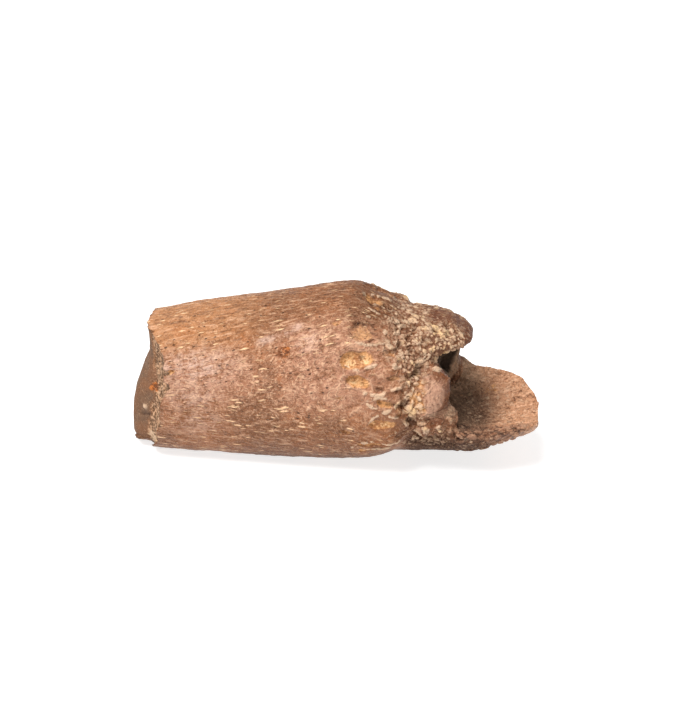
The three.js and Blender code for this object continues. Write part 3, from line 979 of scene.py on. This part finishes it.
    # Painted shadow under the collar's overhang.
    colour = f.mix(f.field("shaded_neck") * 0.9, colour, NECK_SHADE)
    spongy_tint = f.mix(f.ramp(speck + (mottle - 0.5) * 0.6, 0.42, 0.64), SPONGY, CRUMB)
    colour = f.mix(f.field("spongy"), colour, spongy_tint)
    tongue_tint = f.mix(f.ramp(slow + (mottle - 0.5) * 0.4, 0.4, 0.6) * 0.4, TONGUE, DULL)
    colour = f.mix(f.field("tongue"), colour, tongue_tint)

    # Cream and yellow mineral in the pits, and grey cream grains.
    cream_here = f.ramp(cream + (mottle - 0.5) * 0.6 + (speck - 0.5) * 0.4, 0.1, 0.6)
    cream_tint = f.mix(f.ramp(mottle + (speck - 0.5) * 0.5, 0.36, 0.56), OCHRE, GOLD)
    glow = f.ramp(cream + (speck - 0.5) * 1.2 + (mottle - 0.5), 0.85, 1.15)
    colour = f.mix(cream_here * 0.9, colour, f.mix(glow, cream_tint, CREAM))
    granule = f.ramp(f.field("granule") + (mottle - 0.5) * 0.4 + (speck - 0.5) * 0.3, 0.1, 0.8)
    tone = f.field("tone")
    granule_tint = f.mix(f.ramp(tone, 0.3, 0.45), GREY_CREAM, STONE)
    granule_tint = f.mix(f.ramp(tone, 0.62, 0.72), granule_tint, GREY_CREAM)
    creamy = f.ramp(slow + (mottle - 0.5) + tone * 0.2, 0.62, 0.98)
    granule_tint = f.mix(creamy, granule_tint, CREAM)
    colour = f.mix(granule * 0.8, colour, granule_tint)
    rust = f.ramp(f.field("rust") + (mottle - 0.5) * 0.7 + (speck - 0.5) * 0.5, 0.3, 0.75)
    rust_tint = f.mix(f.ramp(speck * 0.6 + mottle, 0.72, 0.95), RUST_DARK, RUST)
    colour = f.mix(rust * 0.92, colour, rust_tint)

    # Painted shade in the hollows, then the fine grain of the stone.
    painted_shade = f.ramp(shade + (mottle - 0.5) * 0.3, 0.15, 0.9)
    colour = f.mix(painted_shade * 0.85, colour, f.mix(f.ramp(shade, 0.4, 0.9), CREVICE_SHADE, DARK))
    colour = f.mix(f.field("pores") * 0.8, colour, DARK)
    fine = 1 - f.field("tongue") * 0.7
    colour = f.mix(f.ramp(speck, 0.56, 0.7) * fine * 0.25, colour, PALE)
    colour = f.mix(f.ramp(speck, 0.44, 0.3) * fine * 0.35, colour, DARK)
    # Pale peach specks: partly pale grains of the stone, partly painted glints.
    colour = f.mix(f.ramp(grit, 0.6, 0.7) * 0.2, colour, PEACH)
    # Painted shade in the socket's deep part.
    hollow = f.ramp(f.field("hollow"), 0.1, 0.6)
    colour = f.mix(hollow * (0.7 + mottle * 0.3), colour, SOCKET_SHADE)

    # The relief too fine for the mesh, and the gloss.
    height = streaks * streaky + hair * streaky * 0.6 + worms * wrinkled * 0.9 + mottle * 0.6
    height = height + (speck * 0.45 + grit * 0.15) * fine
    height = height + dash * 0.4 - hole * 0.8 + f.ramp(curls, 0.06, 0.01) * 0.25
    relief = {"Strength": 1.0, "Distance": RELIEF * MM, "Height": height}
    bump = f.node("ShaderNodeBump", {}, relief)
    dull = f.field("spongy") + f.field("tongue") + f.field("shaded_neck") + hollow
    shine = f.ramp(mottle, 0.3, 0.7) * 0.16 + 0.34 + dull * 0.4
    surface = {
        "Base Color": colour,
        "Roughness": shine,
        "Normal": bump["Normal"],
        "Specular IOR Level": 0.22,
    }
    shader = f.node("ShaderNodeBsdfPrincipled", {}, surface)
    f.node("ShaderNodeOutputMaterial", {}, {"Surface": shader["BSDF"]})
    return f.material


# The table, the light and the camera, in metres.

LAMPS_AIM_AT = (0, 0, 0.012)
ROOM_LIGHT = 0.38


def table_finish():
    f = Finish("pale_table")
    shader = f.node(
        "ShaderNodeBsdfPrincipled",
        {},
        {
            "Base Color": (0.5, 0.5, 0.5, 1.0),
            "Roughness": 0.8,
            "Specular IOR Level": 0.2,
            "Emission Color": (1.0, 1.0, 1.0, 1.0),
            "Emission Strength": 0.75,
        },
    )
    f.node("ShaderNodeOutputMaterial", {}, {"Surface": shader["BSDF"]})
    return f.material


def make_table():
    half = 4.0
    mesh = bpy.data.meshes.new("table")
    corners = [(-half, -half, 0), (half, -half, 0), (half, half, 0), (-half, half, 0)]
    mesh.from_pydata(corners, [], [(0, 1, 2, 3)])
    table = bpy.data.objects.new("table", mesh)
    table.data.materials.append(table_finish())
    bpy.context.scene.collection.objects.link(table)


def aim(thing, place, target):
    """Puts a camera or a lamp at a place, looking at the target."""
    thing.location = place
    thing.rotation_euler = (Vector(target) - Vector(place)).to_track_quat("-Z", "Y").to_euler()
    bpy.context.scene.collection.objects.link(thing)


def make_lamp(name, place, size, power):
    lamp = bpy.data.lights.new(name, "AREA")
    lamp.shape = "DISK"
    lamp.size = size
    lamp.energy = power
    aim(bpy.data.objects.new(name, lamp), place, LAMPS_AIM_AT)


def make_light():
    scene = bpy.context.scene
    scene.view_settings.view_transform = "Standard"
    scene.world = bpy.data.worlds.new("soft_room")
    scene.world.use_nodes = True
    background = scene.world.node_tree.nodes["Background"]
    background.inputs["Color"].default_value = (1, 1, 1, 1)
    background.inputs["Strength"].default_value = ROOM_LIGHT
    make_lamp("key", (-0.15, -0.19, 0.5), size=0.36, power=3.9)
    make_lamp("glint", (-0.12, -0.3, 0.5), size=0.05, power=0.45)


CAMERA_AZIMUTH, CAMERA_ELEVATION, CAMERA_DISTANCE = 6.0, 28.0, 0.311
CAMERA_LENS = 100.0
CAMERA_TARGET = Vector((0.0027, 0, 0.0165))


def make_camera():
    turn, lift = math.radians(CAMERA_AZIMUTH), math.radians(CAMERA_ELEVATION)
    level = math.cos(lift)
    back = Vector((math.sin(turn) * level, -math.cos(turn) * level, math.sin(lift)))
    camera = bpy.data.cameras.new("camera")
    camera.lens = CAMERA_LENS
    camera.clip_start = 0.01
    stand = bpy.data.objects.new("camera", camera)
    aim(stand, CAMERA_TARGET + back * CAMERA_DISTANCE, CAMERA_TARGET)
    bpy.context.scene.camera = stand


make_camera()
make_light()
make_table()

claw_bone = make_bone()
claw_bone.data.materials.append(fossil_bone())
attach(claw_bone, "root")
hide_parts(NODE)
